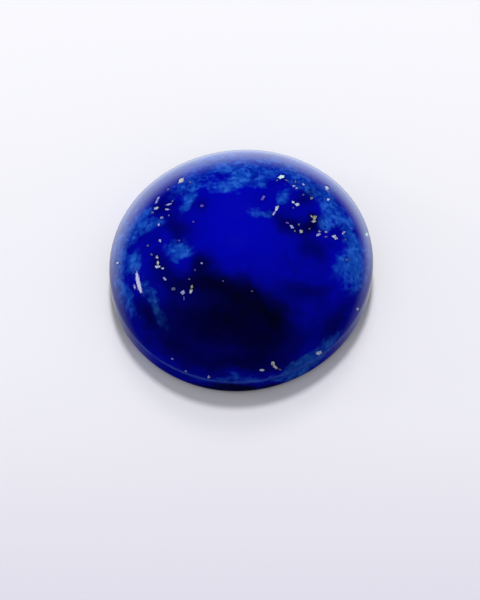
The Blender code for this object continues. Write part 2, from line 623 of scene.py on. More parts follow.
@dataclass
class PyriteScatter:
    """All the pyrite in the stone's skin: flecks that show, and their like behind.

    Attributes:
        form: The stone's shape.
        view: The picture's view.
        seed: Seed of every uneven choice.
        side_px: Longest side of a seen fleck's outline.
        side: Longest side of a hidden grain's outline.
        seams: Number of hidden trails of grains.
        most_tilt: Steepest slope of a grain's face against the skin.
        rim_clear: How far the hidden grains stay from the edge of the back.
        seam_start: Shares of the rest of the reach at which a trail starts.
        seam_turn: Angles of its heading against the way out, in radians.
        seam_bend: Most that it turns at each grain, in radians.
        seam_grains: Fewest and most grains in a trail.
        stride: Least and greatest distance between two of them.
        stray: How far they usually lie off the trail.
        least_length: Length of the smallest grain.
        length_range: How much longer the longest one is.
        length_power: How much rarer the longer ones are.
        slimness: Widths of a grain, as shares of its length.
        out_of_sight: Facing under which the picture hides a place.
        hidden_tones: Colours, painted glints and shade, that the hidden grains are drawn from.
    """

    form: StoneForm
    view: PictureView
    seed: int = 11
    side_px: float = 1.5
    side: float = 0.09
    seams: int = 15
    most_tilt: float = 0.06
    rim_clear: float = 0.45
    seam_start: tuple[float, float] = (0.35, 0.95)
    seam_turn: tuple[float, float] = (1.1, 1.9)
    seam_bend: float = 0.5
    seam_grains: tuple[int, int] = (6, 13)
    stride: tuple[float, float] = (0.28, 0.75)
    stray: float = 0.14
    least_length: float = 0.13
    length_range: float = 0.34
    length_power: float = 2.2
    slimness: tuple[float, float] = (0.4, 0.85)
    out_of_sight: float = 0.04
    hidden_tones: tuple[Tone, ...] = (
        Tone.WHITE, Tone.LAVENDER, Tone.LAVENDER, Tone.CREAM, Tone.BRASS, Tone.ASH, Tone.ASH,
    )

    def facing(self, place: np.ndarray) -> float:
        """How squarely a place of the spread faces the picture's eye.

        Args:
            place: A place on the spread.

        Returns:
            Cosine of the angle between its normal and the line to the eye.
        """
        point = self.form.lift(place[None])[0]
        normal = self.form.normals(place[None])[0]
        line = np.array(self.view.eye) - point
        return float(normal @ line / np.linalg.norm(line))

    def face_tilt(self, rng: random.Random) -> np.ndarray:
        """Slopes of a grain's polished face.

        Args:
            rng: Source of the unevenness.

        Returns:
            Slopes along the spread's two axes.
        """
        return np.array([rng.uniform(-self.most_tilt, self.most_tilt) for _ in range(2)])

    def seen_grains(self, rng: random.Random) -> list[Grain]:
        """Grains for the flecks that the picture shows.

        Args:
            rng: Source of the unevenness.

        Returns:
            The grains, each on the spread.
        """
        grains = []
        for fleck in SEEN_FLECKS:
            shape = cut_outline(rng, fleck.long_px, fleck.wide_px, fleck.lean, self.side_px)
            pixels = [(fleck.x_px + dx, fleck.y_px - dy) for dx, dy in shape]
            places = [self.view.cast(self.form, *pixel) for pixel in pixels]
            tilt = self.face_tilt(rng)
            if all(place is not None for place in places):
                grains.append(Grain(np.array(places), fleck.tone, tilt))
        return grains

    def hidden_grains(self, rng: random.Random, taken: list[Grain]) -> list[Grain]:
        """Trails of grains over the part of the skin that the picture hides.

        Args:
            rng: Source of the unevenness.
            taken: Grains already placed.

        Returns:
            The further grains.
        """
        grains: list[Grain] = []
        most = self.form.reach - self.rim_clear
        for _ in range(self.seams):
            bearing = rng.uniform(0.0, math.tau)
            along = rng.uniform(*self.seam_start) * most
            heading = bearing + rng.choice((-1.0, 1.0)) * rng.uniform(*self.seam_turn)
            place = along * np.array((math.cos(bearing), math.sin(bearing)))
            for _ in range(rng.randint(*self.seam_grains)):
                heading += rng.uniform(-self.seam_bend, self.seam_bend)
                stride = rng.uniform(*self.stride)
                place = place + stride * np.array((math.cos(heading), math.sin(heading)))
                grain = self.hidden_grain(rng, place)
                if self.has_room(grain, most, taken + grains):
                    grains.append(grain)
        return grains

    def hidden_grain(self, rng: random.Random, place: np.ndarray) -> Grain:
        """One grain of a hidden trail.

        Args:
            rng: Source of the unevenness.
            place: Place of the trail on the spread.

        Returns:
            The grain, a little off the trail.
        """
        length = self.least_length + self.length_range * rng.random() ** self.length_power
        width = length * rng.uniform(*self.slimness)
        aside = np.array((rng.gauss(0.0, self.stray), rng.gauss(0.0, self.stray)))
        shape = cut_outline(rng, length, width, rng.uniform(0.0, 180.0), self.side)
        tone = rng.choice(self.hidden_tones)
        return Grain(shape + place + aside, tone, self.face_tilt(rng))

    def has_room(self, grain: Grain, most: float, taken: list[Grain]) -> bool:
        """Tell whether a hidden grain may stay where it is.

        Args:
            grain: The grain.
            most: How far out on the spread it may lie.
            taken: Grains already placed.

        Returns:
            True if it is out of the picture's sight and clear of the others.
        """
        if np.hypot(*grain.middle) + grain.radius > most:
            return False
        if self.facing(grain.middle) > self.out_of_sight:
            return False
        return all(
            np.hypot(*(grain.middle - other.middle))
            > grain.radius + other.radius + grain.collar
            for other in taken
        )

    def grains(self) -> list[Grain]:
        """Every grain of the skin, the same on each run."""
        rng = random.Random(self.seed)
        seen = self.seen_grains(rng)
        return seen + self.hidden_grains(rng, seen)


class Zone(Enum):
    """What a soft zone of the picture does to the blue."""

    CLOUD_AND_SHEEN = "cloud"
    SHADE = "shade"
    GLOW = "glow"


@dataclass(frozen=True)
class Patch:
    """A soft patch of paler, darker or brighter colour, as the picture shows it: calcite cloud,
    dark rock, and painted shade, light and reflection.

    Attributes:
        x_px: Pixel of its middle, across.
        y_px: Pixel of its middle, down.
        long_px: Half its length.
        wide_px: Half its width.
        lean: Lean of its length in the picture, in degrees.
        strength: How strong it is in the middle.
        falloff: How sharply it ends at its outline.
    """

    x_px: float
    y_px: float
    long_px: float
    wide_px: float
    lean: float = 0.0
    strength: float = 1.0
    falloff: float = 1.4

    def mask(self, pixels: np.ndarray) -> np.ndarray:
        """Strength of the patch at each pixel.

        Args:
            pixels: Pixels, one row each.

        Returns:
            One strength for each, fading smoothly to nothing.
        """
        tilt = math.radians(self.lean)
        across = pixels[:, 0] - self.x_px
        up = self.y_px - pixels[:, 1]
        along = (across * math.cos(tilt) + up * math.sin(tilt)) / self.long_px
        aside = (up * math.cos(tilt) - across * math.sin(tilt)) / self.wide_px
        return self.strength * np.exp(-(along * along + aside * aside) ** self.falloff)


# Calcite cloud, and painted reflection and highlight: the pale patches on the lower right and
# along the front of the girdle stand for light that the polish mirrors.
CLOUDS_AND_SHEEN = (
    Patch(240.0, 166.0, 66.0, 13.0, 0.0, 0.55),
    Patch(241.0, 180.0, 12.0, 6.0, 3.0, 0.75),
    Patch(230.0, 187.0, 30.0, 4.5, 3.0, 0.60),
    Patch(262.0, 180.0, 7.0, 6.0, 0.0, 0.50),
    Patch(190.0, 200.0, 15.0, 5.0, 48.0, 0.65),
    Patch(186.0, 186.0, 22.0, 9.0, 25.0, 0.50),
    Patch(304.0, 184.0, 26.0, 12.0, -32.0, 0.50),
    Patch(262.0, 213.0, 15.0, 5.0, -12.0, 0.50),
    Patch(283.0, 197.0, 9.0, 6.0, 10.0, 0.60),
    Patch(334.0, 206.0, 24.0, 9.0, -58.0, 0.60),
    Patch(327.0, 222.0, 9.0, 12.0, 20.0, 0.55),
    Patch(352.0, 240.0, 20.0, 8.0, -70.0, 0.65),
    Patch(357.0, 268.0, 26.0, 13.0, 86.0, 0.85),
    Patch(341.0, 268.0, 14.0, 9.0, 60.0, 0.55),
    Patch(137.0, 222.0, 26.0, 10.0, 62.0, 0.60),
    Patch(121.0, 252.0, 26.0, 8.0, 82.0, 0.60),
    Patch(134.0, 262.0, 12.0, 7.0, 60.0, 0.80),
    Patch(124.0, 292.0, 28.0, 8.0, 108.0, 0.60),
    Patch(152.0, 226.0, 12.0, 7.0, 40.0, 0.55),
    Patch(178.0, 249.0, 13.0, 11.0, 0.0, 0.70),
    Patch(179.0, 258.0, 13.0, 4.0, 12.0, 0.60),
    Patch(152.0, 297.0, 24.0, 5.0, -62.0, 0.55),
    Patch(163.0, 320.0, 16.0, 6.0, -60.0, 0.35),
    # Painted reflection: these two patches stand for the room mirrored on the lower right.
    Patch(302.0, 365.0, 24.0, 8.0, 30.0, 0.85),
    Patch(328.0, 345.0, 18.0, 6.0, 45.0, 0.60),
    # Painted highlight along the front of the girdle.
    Patch(243.0, 379.0, 46.0, 4.0, 0.0, 0.50),
)
# Dark rock, and painted shade: the lower front, turned away from the key lamp, and the foot of
# the band, in the stone's own shadow.
SHADES = (
    Patch(165.0, 205.0, 13.0, 9.0, 20.0, 0.62),
    Patch(175.0, 228.0, 16.0, 12.0, -30.0, 0.62),
    Patch(201.0, 206.0, 9.0, 6.0, 10.0, 0.40),
    Patch(291.0, 226.0, 24.0, 9.0, -30.0, 0.72),
    Patch(312.0, 223.0, 11.0, 8.0, 40.0, 0.85),
    Patch(308.0, 199.0, 13.0, 7.0, 60.0, 0.45),
    Patch(312.0, 250.0, 16.0, 11.0, -20.0, 0.55),
    Patch(316.0, 290.0, 15.0, 8.0, 10.0, 0.55),
    Patch(336.0, 322.0, 26.0, 11.0, 48.0, 0.60),
    Patch(160.0, 262.0, 9.0, 14.0, 10.0, 0.55),
    Patch(202.0, 266.0, 13.0, 14.0, 0.0, 0.82),
    Patch(176.0, 280.0, 20.0, 11.0, -10.0, 0.66),
    Patch(210.0, 285.0, 32.0, 14.0, -6.0, 0.93),
    Patch(248.0, 297.0, 36.0, 14.0, -20.0, 0.95),
    Patch(300.0, 293.0, 24.0, 12.0, -30.0, 0.42),
    Patch(272.0, 318.0, 23.0, 18.0, -25.0, 1.0),
    Patch(236.0, 312.0, 28.0, 17.0, -10.0, 0.70),
    Patch(242.0, 328.0, 66.0, 36.0, -12.0, 0.90),
    Patch(190.0, 322.0, 44.0, 34.0, -20.0, 0.74),
    Patch(148.0, 316.0, 18.0, 10.0, -60.0, 0.72),
    Patch(180.0, 350.0, 34.0, 10.0, -25.0, 0.50),
    Patch(268.0, 344.0, 28.0, 14.0, 10.0, 0.66),
    Patch(246.0, 363.0, 44.0, 10.0, 0.0, 0.72),
    # Painted shadow along the foot of the band at the front.
    Patch(240.0, 390.0, 84.0, 7.0, 0.0, 0.95),
)
# Painted light: brighter blue over the lit crown, and where the right rim and the lower front
# mirror the room.
GLOWS = (
    Patch(236.0, 226.0, 44.0, 40.0, -30.0, 0.90),
    Patch(232.0, 189.0, 36.0, 6.0, 0.0, 0.70),
    Patch(186.0, 258.0, 12.0, 6.0, 10.0, 0.50),
    Patch(346.0, 266.0, 22.0, 18.0, 60.0, 0.90),
    Patch(306.0, 354.0, 22.0, 10.0, 35.0, 0.80),
)
PATCHES = {Zone.CLOUD_AND_SHEEN: CLOUDS_AND_SHEEN, Zone.SHADE: SHADES, Zone.GLOW: GLOWS}
NOISE_PLACES = {Zone.CLOUD_AND_SHEEN: 7.0, Zone.SHADE: 31.0, Zone.GLOW: 53.0}


class Surface(Enum):
    """Material slots of the stone's mesh, in order."""

    POLISH = 0
    PYRITE = 1
    BACK = 2


@dataclass
class StoneSkin:
    """The whole stone as one closed mesh, with its grains cut into the skin.

    Attributes:
        form: The stone's shape.
        view: The picture's view, for the soft patches.
        grains: Pyrite grains on the spread.
        spacing: Distance between the points of the plain skin.
        edge_gap: Least distance from a plain point to a grain's outline.
        wave: Height of the low waves that polishing by hand leaves.
        wave_length: Length of those waves.
        grain_shade: How far the painted shade in the undercut round a grain reaches.
        girdle_highlight_width: Half width of the painted highlight along the girdle.
        rim_gap: Least distance from a plain point to the rim, in spacings.
        collar_gap: Least distance from an undercut's point to an outline, in edge gaps.
        weld: Distance under which two points are taken as one.
        on_outline: Distance under which a point is the grain's own.
        rim_slope: How steeply the relief comes in from the rim.
        sight_slope: How steeply the picture's patches come in as the skin faces its eye.
        hidden_scale: Made-up patches to the millimetre.
        hidden_level: Their mean strength.
        hidden_swing: How far they depart from it.
        hidden_most: Their greatest strength.
        ragged: Layers of the patches' ragged edges: scale, and shift in pixels.
        ragged_seed: Seed of those layers, which would otherwise come from the clock.
    """

    form: StoneForm
    view: PictureView
    grains: list[Grain]
    spacing: float = 0.088
    edge_gap: float = 0.035
    wave: float = 0.005
    wave_length: float = 2.6
    grain_shade: float = 0.22
    girdle_highlight_width: float = 0.13
    rim_gap: float = 0.6
    collar_gap: float = 0.4
    weld: float = 1e-7
    on_outline: float = 1e-6
    rim_slope: float = 40.0
    sight_slope: float = 5.0
    hidden_scale: float = 0.32
    hidden_level: float = 0.35
    hidden_swing: float = 1.5
    hidden_most: float = 0.9
    ragged: tuple[tuple[float, float], ...] = ((0.9, 5.0), (2.6, 2.5))
    ragged_seed: int = 7

    @property
    def rim_count(self) -> int:
        """Number of points along the edge of the back."""
        return int(math.tau * self.form.reach / self.spacing)

    def plain_places(self) -> np.ndarray:
        """Even points over the spread, clear of the grains' outlines and the rim.

        Returns:
            Places on the spread, one row each.
        """
        reach = self.form.reach
        row_gap = self.spacing * math.sqrt(3.0) / 2.0
        rows = int(reach / row_gap) + 1
        columns = int(reach / self.spacing) + 1
        row, column = np.mgrid[-rows:rows + 1, -columns:columns + 1]
        across = (column + 0.5 * (row % 2)) * self.spacing
        places = np.column_stack((across.ravel(), (row * row_gap).ravel()))
        most = reach - self.rim_gap * self.spacing
        places = places[np.hypot(places[:, 0], places[:, 1]) < most]
        keep = np.ones(len(places), bool)
        for grain in self.grains:
            close = grain.near(places, self.spacing)
            keep[close] &= np.abs(grain.distance(places[close])) > self.edge_gap
        return places[keep]

    def collar_places(self) -> np.ndarray:
        """Extra points half way across each grain's undercut.

        Returns:
            Places on the spread, one row each.
        """
        rings = []
        for grain in self.grains:
            out = grain.outline - grain.middle
            out /= np.linalg.norm(out, axis=1, keepdims=True)
            rings.append(grain.outline + out * grain.collar / 2.0)
        places = np.concatenate(rings)
        keep = np.hypot(places[:, 0], places[:, 1]) < self.form.reach - self.spacing
        for grain in self.grains:
            close = grain.near(places, self.spacing)
            keep[close] &= grain.distance(places[close]) > self.collar_gap * self.edge_gap
        return places[keep]

    def triangulate(self) -> tuple[np.ndarray, list[list[int]], list[bool]]:
        """Triangulate the spread so that every grain's outline is kept.

        Returns:
            The places, the triangles, and which of them are pyrite.
        """
        bearings = np.arange(self.rim_count) * math.tau / self.rim_count
        rim = self.form.reach * np.column_stack((np.cos(bearings), np.sin(bearings)))
        parts = [rim, self.plain_places(), self.collar_places()]
        start = sum(len(part) for part in parts)
        loops = []
        for grain in self.grains:
            loops.append(list(range(start, start + len(grain.outline))))
            start += len(grain.outline)
            parts.append(grain.outline)
        places = [Vector(place) for place in np.concatenate(parts)]
        cut = delaunay_2d_cdt(places, [], loops, 0, self.weld)
        found, _, triangles, _, _, owners = cut
        metal = [bool(owner) for owner in owners]
        return np.array([tuple(place) for place in found]), triangles, metal

    def relief(self, places: np.ndarray, points: np.ndarray) -> np.ndarray:
        """Height of the finished skin over the plain form.

        Args:
            places: Places on the spread, one row each.
            points: Their positions on the plain form.

        Returns:
            One height for each place.
        """
        height = np.array([
            self.wave * (noise.noise(Vector(point) / self.wave_length) - 0.5)
            for point in points
        ])
        for grain in self.grains:
            close = grain.near(places, grain.collar)
            away = grain.distance(places[close])
            away = np.where(away < self.on_outline, -1.0, away)
            height[close] += grain.relief(places[close], away)
        rim = np.hypot(places[:, 0], places[:, 1]) / self.form.reach
        return height * np.clip((1.0 - rim) * self.rim_slope, 0.0, 1.0)

    def grain_fields(self, places: np.ndarray) -> tuple[np.ndarray, np.ndarray]:
        """Nearness to a grain, and the nearest grain's colour with its painted glint, at each
        place.

        Args:
            places: Places on the spread, one row each.

        Returns:
            One nearness and one colour for each place.
        """
        nearness = np.zeros(len(places))
        tone = np.ones((len(places), 4))
        for grain in self.grains:
            close = grain.near(places, self.grain_shade)
            away = grain.distance(places[close])
            level = np.clip(1.0 - away / self.grain_shade, 0.0, 1.0)
            nearer = level > nearness[close]
            nearness[close[nearer]] = level[nearer]
            tone[close[nearer], :3] = grain.tone.value
        return nearness, tone

    def patch_fields(self, points: np.ndarray, normals: np.ndarray) -> dict[str, np.ndarray]:
        """Strength of each zone: as the picture shows, and made up behind.

        Args:
            points: Positions, one row each.
            normals: Their normals.

        Returns:
            The fields by name.
        """
        pixels = self.view.project(points) + self.drift(points)
        lines = np.array(self.view.eye) - points
        lines /= np.linalg.norm(lines, axis=1, keepdims=True)
        seen = np.clip((normals * lines).sum(axis=1) * self.sight_slope, 0.0, 1.0)
        fields = {}
        for zone, patches in PATCHES.items():
            left = np.ones(len(points))
            for patch in patches:
                left *= 1.0 - patch.mask(pixels)
            away = Vector([NOISE_PLACES[zone]] * 3)
            swing = np.array([
                noise.noise(Vector(point) * self.hidden_scale + away) for point in points
            ])
            hidden = self.hidden_level + self.hidden_swing * swing
            hidden = np.clip(hidden, 0.0, self.hidden_most)
            fields[zone.value] = seen * (1.0 - left) + (1.0 - seen) * hidden
        return fields

    def painted_girdle_highlight(self, places: np.ndarray) -> np.ndarray:
        """Painted highlight along the girdle, where the dome meets the band.

        Args:
            places: Places on the spread, one row each.

        Returns:
            A strength for each place.
        """
        along = np.hypot(places[:, 0], places[:, 1])
        off = along - self.form.girdle + self.girdle_highlight_width / 2.0
        return np.exp(-(off / self.girdle_highlight_width) ** 2)

    def drift(self, points: np.ndarray) -> np.ndarray:
        """Uneven shift that gives the soft patches their ragged edges.

        Args:
            points: Positions, one row each.

        Returns:
            A shift in pixels for each position.
        """
        noise.seed_set(self.ragged_seed)
        total = np.zeros((len(points), 2))
        for scale, shift in self.ragged:
            rows = [noise.noise_vector(Vector(point) * scale)[:2] for point in points]
            total += shift * np.array(rows)
        return total

    def bake_layout(self, mesh: bpy.types.Mesh, places: np.ndarray) -> None:
        """Lay the spread and the back out flat, side by side without overlap.

        Args:
            mesh: The stone's mesh.
            places: Places on the spread of the mesh's points.
        """
        margin, corner = 0.004, 0.078
        top = 0.5 + places * (0.5 - margin) / self.form.reach
        layer = mesh.uv_layers.new(name="OFBake")
        corners = np.empty(len(mesh.loops), int)
        mesh.loops.foreach_get("vertex_index", corners)
        layout = top[corners]
        for polygon in mesh.polygons:
            if polygon.material_index == Surface.BACK.value:
                for loop in polygon.loop_indices:
                    place = places[corners[loop]] / self.form.reach
                    layout[loop] = corner * (1.0 + place)
        layer.data.foreach_set("uv", layout.ravel())

    def build(self) -> bpy.types.Object:
        """Make the stone's mesh and link it to the scene.

        Returns:
            The stone, with each face's surface set as its material index.
        """
        places, triangles, metal = self.triangulate()
        plain = self.form.lift(places)
        normals = self.form.normals(places)
        points = plain + normals * self.relief(places, plain)[:, None]
        points[:self.rim_count, 2] = 0.0
        back = list(range(self.rim_count))[::-1]

        mesh = bpy.data.meshes.new("lapis_stone")
        mesh.from_pydata((points * MM).tolist(), [], triangles + [back])
        surfaces = [Surface.PYRITE if shiny else Surface.POLISH for shiny in metal]
        indices = [surface.value for surface in surfaces] + [Surface.BACK.value]
        mesh.polygons.foreach_set("material_index", indices)
        smooth = [surface is Surface.POLISH for surface in surfaces] + [False]
        mesh.polygons.foreach_set("use_smooth", smooth)
        nearness, tone = self.grain_fields(places)
        # The girdle field is a painted highlight: a paler line standing in for the light that the
        # rounded edge catches.
        fields = {"nearness": nearness, "girdle_highlight": self.painted_girdle_highlight(places)}
        fields |= self.patch_fields(points, normals)
        for name, values in fields.items():
            attribute = mesh.attributes.new(name, "FLOAT", "POINT")
            attribute.data.foreach_set("value", values.astype(np.float32))
        colours = mesh.attributes.new("tone", "FLOAT_COLOR", "POINT")
        colours.data.foreach_set("color", tone.astype(np.float32).ravel())
        self.bake_layout(mesh, places)
        mesh.update()
        stone = bpy.data.objects.new("lapis_stone", mesh)
        bpy.context.scene.collection.objects.link(stone)
        return stone


@dataclass(frozen=True)
class Mottle:
    """A cloudy noise.

    Attributes:
        scale: Features to the millimetre.
        detail: Number of finer layers.
        roughness: Strength of the finer layers.
        bend: How far the noise is bent by itself.
    """

    scale: float
    detail: float = 4.0
    roughness: float = 0.55
    bend: float = 0.0


@dataclass(frozen=True)
class Step:
    """A smooth step from one result to another.

    Attributes:
        low: Value at which the step starts.
        high: Value at which it ends.
        start: Result before the step.
        end: Result after it.
    """

    low: float
    high: float
    start: float = 0.0
    end: float = 1.0


class NodeSheet:
    """A material's nodes, with a short call for each kind that is used here."""

    def __init__(self, name: str) -> None:
        """Start a material with its shader and the stone's own coordinates.

        Args:
            name: Name of the material.
        """
        self.material = bpy.data.materials.new(name)
        self.material.use_nodes = True
        self.tree = self.material.node_tree
        self.shader = self.tree.nodes["Principled BSDF"]
        coordinates = self.tree.nodes.new("ShaderNodeTexCoord")
        scale = self.tree.nodes.new("ShaderNodeVectorMath")
        scale.operation = "SCALE"
        scale.inputs["Scale"].default_value = 1.0 / MM
        self.tree.links.new(coordinates.outputs["Object"], scale.inputs[0])
        self.place = scale.outputs[0]

    def feed(self, target: bpy.types.NodeSocket, value: object) -> None:
        """Link a socket, or set it where the value is a plain one.

        Args:
            target: Socket to feed.
            value: Another node's output, a number or a colour.
        """
        if isinstance(value, bpy.types.NodeSocket):
            self.tree.links.new(value, target)
        elif isinstance(value, tuple):
            target.default_value = (*value, 1.0)
        else:
            target.default_value = value

    def field(self, name: str) -> bpy.types.NodeSocket:
        """Read one of the stone's fields.

        Args:
            name: Name of the field.

        Returns:
            Its value.
        """
        node = self.tree.nodes.new("ShaderNodeAttribute")
        node.attribute_name = name
        return node.outputs["Fac"]

    def colours(self, name: str) -> bpy.types.NodeSocket:
        """Read one of the stone's colour fields.

        Args:
            name: Name of the field.

        Returns:
            Its colour.
        """
        node = self.tree.nodes.new("ShaderNodeAttribute")
        node.attribute_name = name
        return node.outputs["Color"]

    def noise(self, mottle: Mottle) -> bpy.types.NodeSocket:
        """Cloudy noise through the rock.

        Args:
            mottle: Kind of noise.

        Returns:
            A value that stays mostly between 0.3 and 0.7.
        """
        node = self.tree.nodes.new("ShaderNodeTexNoise")
        self.feed(node.inputs["Vector"], self.place)
        node.inputs["Scale"].default_value = mottle.scale
        node.inputs["Detail"].default_value = mottle.detail
        node.inputs["Roughness"].default_value = mottle.roughness
        node.inputs["Distortion"].default_value = mottle.bend
        return node.outputs["Fac"]

    def crystals(self, scale: float) -> bpy.types.NodeSocket:
        """Crystal grains of the rock.

        Args:
            scale: Grains to the millimetre.

        Returns:
            An uneven tone for each grain, from 0 to 1.
        """
        node = self.tree.nodes.new("ShaderNodeTexVoronoi")
        self.feed(node.inputs["Vector"], self.place)
        node.inputs["Scale"].default_value = scale
        split = self.tree.nodes.new("ShaderNodeSeparateColor")
        self.tree.links.new(node.outputs["Color"], split.inputs["Color"])
        return split.outputs["Red"]

    def math(self, operation: str, first: object, second: object = 0.0) -> bpy.types.NodeSocket:
        """Combine two values.

        Args:
            operation: Blender's name of the operation.
            first: First value.
            second: Second value.

        Returns:
            The result.
        """
        node = self.tree.nodes.new("ShaderNodeMath")
        node.operation = operation
        self.feed(node.inputs[0], first)
        self.feed(node.inputs[1], second)
        return node.outputs[0]

    def weigh(
        self, first: object, second: object, parts: tuple[float, float]
    ) -> bpy.types.NodeSocket:
        """Add two values, each times its own weight.

        Args:
            first: First value.
            second: Second value.
            parts: Their weights.

        Returns:
            The sum.
        """
        products = [
            self.math("MULTIPLY", value, part) for value, part in zip((first, second), parts)
        ]
        return self.math("ADD", *products)

    def ramp(self, value: object, step: Step) -> bpy.types.NodeSocket:
        """Follow a value through a smooth step.

        Args:
            value: Value to follow.
            step: The step.

        Returns:
            The result.
        """
        node = self.tree.nodes.new("ShaderNodeMapRange")
        node.interpolation_type = "SMOOTHSTEP"
        numbers = (value, step.low, step.high, step.start, step.end)
        for target, number in zip(node.inputs, numbers):
            self.feed(target, number)
        return node.outputs[0]

    def mix(self, share: object, first: object, second: object) -> bpy.types.NodeSocket:
        """Mix two colours.

        Args:
            share: Share of the second colour.
            first: First colour.
            second: Second colour.

        Returns:
            The mixed colour.
        """
        node = self.tree.nodes.new("ShaderNodeMix")
        node.data_type = "RGBA"
        self.feed(node.inputs[0], share)
        self.feed(node.inputs[6], first)
        self.feed(node.inputs[7], second)
        return node.outputs[2]

    def bump(self, height: bpy.types.NodeSocket, depth_mm: float) -> None:
        """Give the shader a fine relief.

        Args:
            height: Height of the relief, from 0 to 1.
            depth_mm: Depth that a height of 1 stands for.
        """
        node = self.tree.nodes.new("ShaderNodeBump")
        node.inputs["Distance"].default_value = depth_mm * MM
        self.feed(node.inputs["Height"], height)
        self.tree.links.new(node.outputs["Normal"], self.shader.inputs["Normal"])


@dataclass(frozen=True)
class LapisPolish:
    """Polished lapis: clear ultramarine, calcite cloud and near-black rock, with painted light,
    shade and highlight in its colour.

    Attributes:
        clear: Clear ultramarine.
        deep: Deeper ultramarine between its grains.
        denim: Blue clouded with a little calcite, and the blue of the painted reflections.
        chalk: The palest threads of the cloud.
        painted_lit_blue: Painted light: the brightest, evenest blue, over the lit crown and the
            mirroring rims.
        night: Near-black rock, and the colour of all painted shade.
        painted_girdle_line: Paler blue of the painted highlight along the girdle.
        ior: Index of refraction of the polish.
        broad_noise: Slow changes through the rock.
        fine_noise: Threads of the cloud.
        smear_noise: Unevenness of the polish.
        skin_noise: Finest relief of the polish.
        skin_depth: Depth of that relief.
        crystal_scale: Crystal grains to the millimetre.
        depth_parts: Weights of the slow changes and the threads in the blue's depth.
        thread_parts: Weights of the threads and the crystals in the cloud's texture.
        cloud_parts: Weights of the cloud and its texture in the cloudiness.
        clear_step: Depths over which the blue turns clear.
        cloud_step: Weighed sums over which the rock turns cloudy.
        chalk_step: Textures over which the cloud turns chalky.
        shade_step: Share of the dark rock and painted shade that the threads leave.
        girdle_line_step: Share of the painted girdle highlight that they leave.
        undercut_shade_step: Nearness to a grain over which painted shade darkens the rock in its
            undercut.
        rough_step: Roughness of the polish, greater where there is calcite.
    """

    clear: Colour = (0.0006, 0.0012, 0.36)
    deep: Colour = (0.0003, 0.0008, 0.25)
    denim: Colour = (0.002, 0.052, 0.41)
    chalk: Colour = (0.022, 0.125, 0.62)
    painted_lit_blue: Colour = (0.0006, 0.0008, 0.43)
    night: Colour = (0.0002, 0.0003, 0.004)
    painted_girdle_line: Colour = (0.030, 0.070, 0.42)
    ior: float = 1.5
    broad_noise: Mottle = Mottle(0.45, 5.0, 0.6, 0.6)
    fine_noise: Mottle = Mottle(1.5, 5.0, 0.6, 0.4)
    smear_noise: Mottle = Mottle(1.1, 3.0)
    skin_noise: Mottle = Mottle(9.0, 3.0)
    skin_depth: float = 0.0012
    crystal_scale: float = 4.5
    depth_parts: tuple[float, float] = (0.7, 0.3)
    thread_parts: tuple[float, float] = (0.78, 0.22)
    cloud_parts: tuple[float, float] = (0.85, 0.6)
    clear_step: Step = Step(0.36, 0.62)
    cloud_step: Step = Step(0.42, 1.05)
    chalk_step: Step = Step(0.38, 0.74)
    shade_step: Step = Step(0.30, 0.70, 0.94, 1.0)
    girdle_line_step: Step = Step(0.32, 0.62, 0.35, 0.9)
    undercut_shade_step: Step = Step(0.55, 1.0, 0.0, 0.45)
    rough_step: Step = Step(0.1, 0.6, 0.05, 0.13)

    def rock(self, sheet: NodeSheet) -> tuple[bpy.types.NodeSocket, bpy.types.NodeSocket]:
        """Colour of the rock, with its painted light and shade, and how cloudy it is.

        Args:
            sheet: Nodes of the material.

        Returns:
            The colour and the cloudiness.
        """
        broad = sheet.noise(self.broad_noise)
        fine = sheet.noise(self.fine_noise)
        depth = sheet.weigh(broad, fine, self.depth_parts)
        blue = sheet.mix(sheet.ramp(depth, self.clear_step), self.deep, self.clear)
        # Painted light: brighter blue where the crown is lit and where the rims mirror the room.
        blue = sheet.mix(sheet.field(Zone.GLOW.value), blue, self.painted_lit_blue)

        threads = sheet.weigh(fine, sheet.crystals(self.crystal_scale), self.thread_parts)
        # Calcite cloud, with painted reflection where its patches stand for the mirrored room.
        cloud = sheet.weigh(sheet.field(Zone.CLOUD_AND_SHEEN.value), threads, self.cloud_parts)
        cloudy = sheet.ramp(cloud, self.cloud_step)
        blue = sheet.mix(cloudy, blue, self.denim)
        chalky = sheet.math("MULTIPLY", sheet.ramp(threads, self.chalk_step), cloudy)
        blue = sheet.mix(chalky, blue, self.chalk)

        # Near-black for the dark rock, and for the painted shade of the lower front and the
        # band's foot.
        uneven = sheet.ramp(fine, self.shade_step)
        shade = sheet.math("MULTIPLY", sheet.field(Zone.SHADE.value), uneven)
        blue = sheet.mix(shade, blue, self.night)
        # Painted highlight: a paler line along the girdle, standing in for the light that its
        # rounded edge catches.
        painted_girdle_line = sheet.math("MULTIPLY", sheet.field("girdle_highlight"), sheet.ramp(fine, self.girdle_line_step))
        blue = sheet.mix(painted_girdle_line, blue, self.painted_girdle_line)
        # Painted shade in the undercut round each grain.
        undercut_shade = sheet.ramp(sheet.field("nearness"), self.undercut_shade_step)
        return sheet.mix(undercut_shade, blue, self.night), cloudy

    def make(self) -> bpy.types.Material:
        """Make the material of the dome and the band."""
        sheet = NodeSheet("polished_lapis")
        colour, cloudy = self.rock(sheet)
        sheet.feed(sheet.shader.inputs["Base Color"], colour)
        smear = sheet.math("MULTIPLY", cloudy, sheet.noise(self.smear_noise))
        sheet.feed(sheet.shader.inputs["Roughness"], sheet.ramp(smear, self.rough_step))
        sheet.shader.inputs["IOR"].default_value = self.ior
        sheet.bump(sheet.noise(self.skin_noise), self.skin_depth)
        return sheet.material


